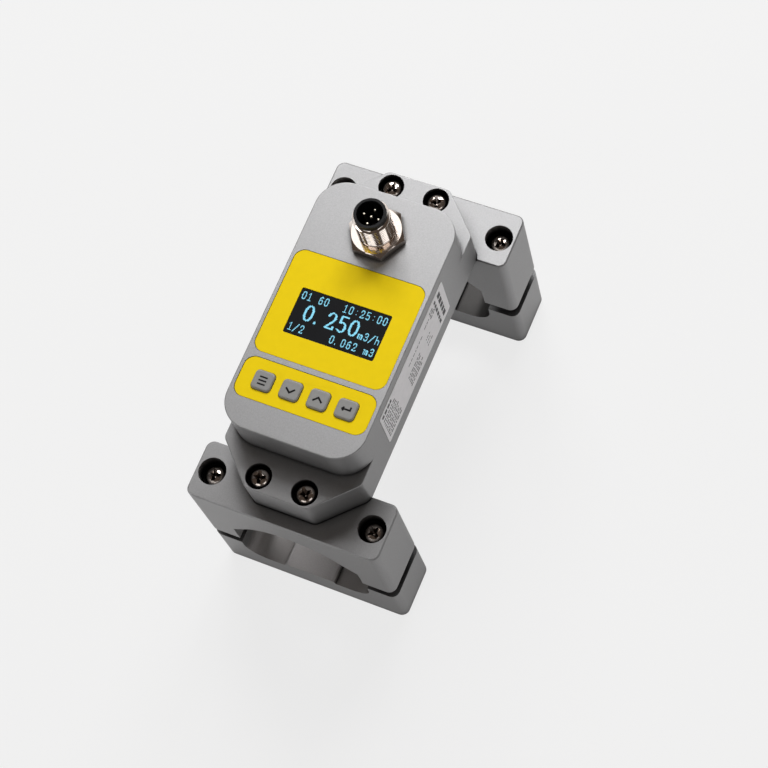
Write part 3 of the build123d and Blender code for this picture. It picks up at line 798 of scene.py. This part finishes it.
def display_text():
    """The display's lit dots, joined into runs along each row."""
    lit_set = set()
    for line in READING:
        lit_set |= lit_dots(*line)
    width = (window["right"] - window["left"]) / DOTS_ACROSS
    height = (window["top"] - window["bottom"]) / DOTS_DOWN
    inset, lift = 0.012, 0.02
    level = lens_top + lift
    verts, faces = [], []
    for row in range(DOTS_DOWN):
        column = 0
        while column < DOTS_ACROSS:
            if (column, row) not in lit_set:
                column += 1
                continue
            first = column
            while (column, row) in lit_set:
                column += 1
            x0 = window["left"] + first * width + inset
            x1 = window["left"] + column * width - inset
            y0 = window["top"] - (row + 1) * height + inset
            y1 = window["top"] - row * height - inset
            base = len(verts)
            for x, y in ((x0, y0), (x1, y0), (x1, y1), (x0, y1)):
                verts.append((x * MM, y * MM, level * MM))
            faces.append((base, base + 1, base + 2, base + 3))
    return verts, faces


verts, faces = display_text()
add_piece("display_reading", verts, faces, glow(), "meter")


# Key icons


def stroke(points, width):
    """Outline of a bent stroke of even width, in mm."""
    left, right = [], []
    count = len(points)
    for index, (x, y) in enumerate(points):
        before = points[max(index - 1, 0)]
        after = points[min(index + 1, count - 1)]
        first = Vector((x - before[0], y - before[1]))
        second = Vector((after[0] - x, after[1] - y))
        if first.length < 1e-9:
            first = second.copy()
        if second.length < 1e-9:
            second = first.copy()
        first.normalize()
        second.normalize()
        normal = Vector((-(first.y + second.y), first.x + second.x))
        normal.normalize()
        reach = width / 2 / max(0.35, normal.dot(Vector((-first.y, first.x))))
        left.append((x + normal.x * reach, y + normal.y * reach))
        right.append((x - normal.x * reach, y - normal.y * reach))
    return left + right[::-1]


def icon(name, key, strokes, width):
    """Raised strokes on a key, placed from the middle of its top and moving with it."""
    low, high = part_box(key)
    centre_x, centre_y = (low.x + high.x) / 2 / MM, (low.y + high.y) / 2 / MM
    level = high.z / MM
    sunk, raised = 0.03, 0.02
    parts = []
    for points in strokes:
        outline = stroke([(centre_x + x, centre_y + y) for x, y in points], width)
        parts.append(plate(outline, level - sunk, level + raised))
    verts, faces = join(parts)
    add_piece(name, verts, faces, icon_ink, key.replace("_key", "_button"))


icon("menu_icon", "menu_key", [
    [(-1.38, 1.0), (1.3, 1.0)], [(-1.38, -0.2), (1.3, -0.2)], [(-1.38, -1.4), (1.3, -1.4)],
], 0.52)
icon("down_icon", "down_key", [[(-1.6, 0.35), (0.0, -1.0), (1.5, 0.4)]], 0.6)
icon("up_icon", "up_key", [[(-1.6, -0.85), (-0.1, 0.55), (1.5, -0.85)]], 0.6)
icon("enter_icon", "enter_key", [
    [(1.4, 1.0), (1.4, -0.15), (-0.9, -0.15)],
    [(-0.75, 0.5), (-1.3, -0.15), (-0.75, -0.8)],
], 0.56)


# Marks on the side label

# Each block: where its rows start and end along the label, how far its first row lies below
# the top edge, the number of rows, their spacing and their thickness; all in mm
MARK_BLOCKS = (
    (1.2, 9.8, 1.6, 1, 0.0, 1.5),
    (1.2, 12.0, 4.6, 8, 1.7, 0.75),
    (19.0, 29.5, 9.8, 5, 1.55, 0.7),
    (21.0, 33.0, 4.9, 1, 0.0, 0.5),
    (33.0, 38.0, 10.5, 3, 2.1, 0.5),
    (34.0, 38.5, 4.0, 1, 0.0, 0.5),
    (38.5, 43.5, 2.4, 3, 1.5, 0.75),
)
# Each column of bold dashes across the label: its place along the label and its width
MARK_COLUMNS = ((45.0, 1.9), (42.3, 1.2))


def label_marks():
    """Plain dashes in blocks, in place of print, on the label's outer face."""
    low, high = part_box("side_label")
    lift, ragged = 0.01, 2.5
    word_lengths, word_gaps = (0.5, 1.7), (0.3, 0.5)
    bold_lengths, bold_gap = (1.6, 2.8), 0.7
    top_margin, bottom_margin = 2.0, 3.0
    face = high.x / MM + lift
    front, top = low.y / MM, high.z / MM
    chance = random.Random(5)
    verts, faces = [], []

    def dash(y0, y1, z0, z1):
        base = len(verts)
        for y, z in ((y0, z0), (y1, z0), (y1, z1), (y0, z1)):
            verts.append((face * MM, y * MM, z * MM))
        faces.append((base, base + 1, base + 2, base + 3))

    for start, end, first, count, spacing, thick in MARK_BLOCKS:
        for row in range(count):
            level = top - first - row * spacing
            place = front + start
            stop = front + end - chance.uniform(0.0, ragged)
            while place < stop - word_lengths[0]:
                far = min(place + chance.uniform(*word_lengths), stop)
                dash(place, far, level - thick, level)
                place = far + chance.uniform(*word_gaps)
    for column, width in MARK_COLUMNS:
        level = top - top_margin
        while level > low.z / MM + bottom_margin:
            step = chance.uniform(*bold_lengths)
            dash(front + column, front + column + width, level - step, level)
            level -= step + bold_gap
    return verts, faces


verts, faces = label_marks()
add_piece("label_marks", verts, faces, label_ink, "meter")


# Edges of the CAD pieces

for name in ("housing", "front_upper_jaw", "rear_upper_jaw", "front_lower_jaw", "rear_lower_jaw"):
    soften(nodes[name], 0.22)
for name in ("connector_insert", "sensor_carrier", "display_film", "key_film"):
    soften(nodes[name], 0.06, 1)


# Floor, world and lamps


def floor():
    """A level sheet that looks white and takes a soft shadow."""
    half_width, level = 6.0, -0.0002
    paper_tone, white_tone = 0.86, 0.905
    white_to_camera, white_in_mirrors = 0.86, 0.25
    corners = [(x * half_width, y * half_width, 0) for x, y in ((-1, -1), (1, -1), (1, 1), (-1, 1))]
    mesh = bpy.data.meshes.new("floor")
    mesh.from_pydata(corners, [], [(0, 1, 2, 3)])
    made = bpy.data.objects.new("floor", mesh)
    made.location.z = level
    scene.collection.objects.link(made)
    material = bpy.data.materials.new("floor_paper")
    material.use_nodes = True
    material.node_tree.nodes.clear()
    out = node(material, "ShaderNodeOutputMaterial")
    paper = node(material, "ShaderNodeBsdfDiffuse")
    feed(material, (paper_tone,) * 3, paper.inputs["Color"])
    white = node(material, "ShaderNodeEmission", strength=1.0)
    feed(material, (white_tone,) * 3, white.inputs["Color"])
    ray = node(material, "ShaderNodeLightPath").outputs
    seen = combine(material, "MAXIMUM", ray["Is Camera Ray"], ray["Is Transmission Ray"])
    direct = combine(material, "MULTIPLY", seen, white_to_camera)
    mirrored = combine(material, "MULTIPLY", ray["Is Glossy Ray"], white_in_mirrors)
    mix = node(material, "ShaderNodeMixShader")
    link(material, combine(material, "ADD", mirrored, direct), mix.inputs[0])
    link(material, paper.outputs[0], mix.inputs[1])
    link(material, white.outputs[0], mix.inputs[2])
    link(material, mix.outputs[0], out.inputs[0])
    mesh.materials.append(material)


def world():
    """White round the horizon and below it, and dark above."""
    made = bpy.data.worlds.new("studio")
    scene.world = made
    made.use_nodes = True
    made.node_tree.nodes.clear()
    out = node(made, "ShaderNodeOutputWorld")
    back = node(made, "ShaderNodeBackground", strength=1.0)
    height = axes(made, "Generated")["Z"]
    tone = ramp(made, height, 0.88, (0.07, 0.055, 0.045), 0.17, 0.30)
    link(made, tone, back.inputs["Color"])
    link(made, back.outputs[0], out.inputs[0])


def lamp(name, azimuth, elevation, width, height, radiance):
    """A soft rectangular lamp; radiance 1 is as bright as white paper.

    Azimuth is in degrees from +X towards +Y, and elevation in degrees above the floor.
    """
    distance, aim_height = 1.5, 0.06
    data = bpy.data.lights.new(name, "AREA")
    data.shape = "RECTANGLE"
    data.size, data.size_y = width, height
    data.energy = radiance * math.pi * width * height
    made = bpy.data.objects.new(name, data)
    scene.collection.objects.link(made)
    turn, rise = math.radians(azimuth), math.radians(elevation)
    level = math.cos(rise)
    towards = Vector((math.cos(turn) * level, math.sin(turn) * level, math.sin(rise)))
    made.location = Vector((0, 0, aim_height)) + towards * distance
    made.rotation_mode = "QUATERNION"
    made.rotation_quaternion = towards.to_track_quat("Z", "Y")


floor()
world()
lamp("key_right", 86, 40, 0.50, 0.45, 11.2)
lamp("key_left", 122, 40, 0.50, 0.45, 10.2)
lamp("key_high", 104, 56, 0.43, 0.45, 9.2)
lamp("front_fill", 225, 14, 0.93, 0.42, 2.3)
lamp("top_rear", 133, 63, 0.50, 0.42, 1.25)
lamp("top_right", 339, 48, 0.63, 0.42, 1.25)
lamp("top_left", 262, 45, 0.80, 0.42, 1.25)


# Camera


def camera():
    """The view from above, at the front and the label side; lens in mm, place in metres."""
    data = bpy.data.cameras.new("camera")
    data.lens = 100.2157
    data.sensor_width = 36.0
    data.clip_start, data.clip_end = 0.05, 20.0
    made = bpy.data.objects.new("camera", data)
    scene.collection.objects.link(made)
    made.location = (0.21169, -0.20495, 0.69055)
    ahead = Vector((-0.28924389, 0.28773465, -0.91298781))
    above = Vector((-0.30800627, 0.87506187, 0.37336156))
    aside = ahead.cross(above).normalized()
    above = aside.cross(ahead).normalized()
    turn = Matrix((aside, above, -ahead)).transposed()
    made.rotation_mode = "QUATERNION"
    made.rotation_quaternion = turn.to_quaternion()
    scene.camera = made


camera()
scene.view_settings.view_transform = "Standard"
